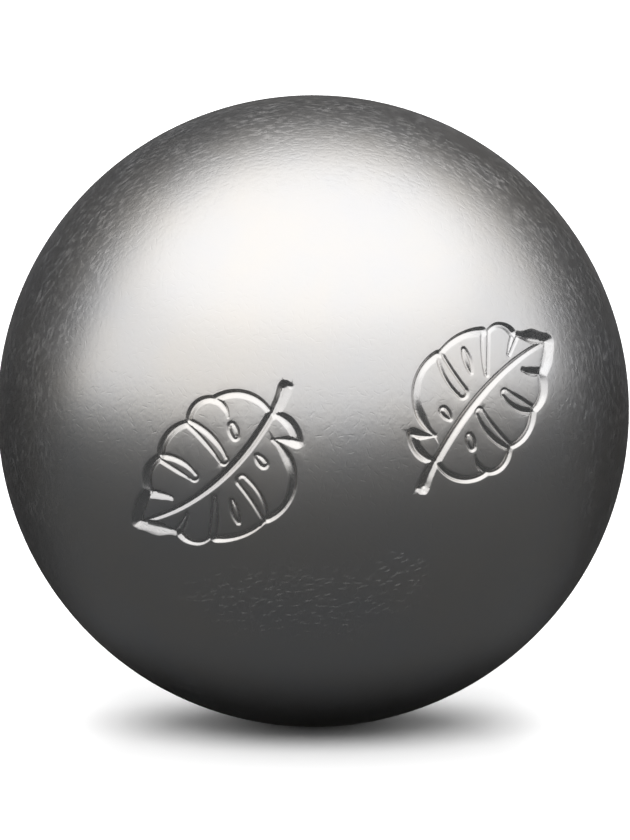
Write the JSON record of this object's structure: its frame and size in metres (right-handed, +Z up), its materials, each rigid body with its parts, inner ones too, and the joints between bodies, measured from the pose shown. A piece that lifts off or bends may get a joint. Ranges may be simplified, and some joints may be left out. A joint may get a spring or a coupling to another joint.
{
  "type": "petanque boule",
  "caption": "Hollow steel throwing ball for petanque: stamped half-shells joined by a flush weld, satin surface engraved with lobed leaves around a tilted band.",
  "frame": {"origin": "centre of the ball", "axes": "+Z up, the front of the ball with its leaf pair facing -Y, the weld in the XZ plane, so that +Y is the axis of both half-shells"},
  "size_m": [0.074, 0.074, 0.074],
  "materials": {
    "shell": "satin, tumbled, with fine short scratches",
    "weld": "ground flush and tumbled with the shells"
  },
  "bodies": {
    "root": {"front_half_shell": "shell", "rear_half_shell": "shell", "weld_bead": "weld"}
  },
  "joints": []
}
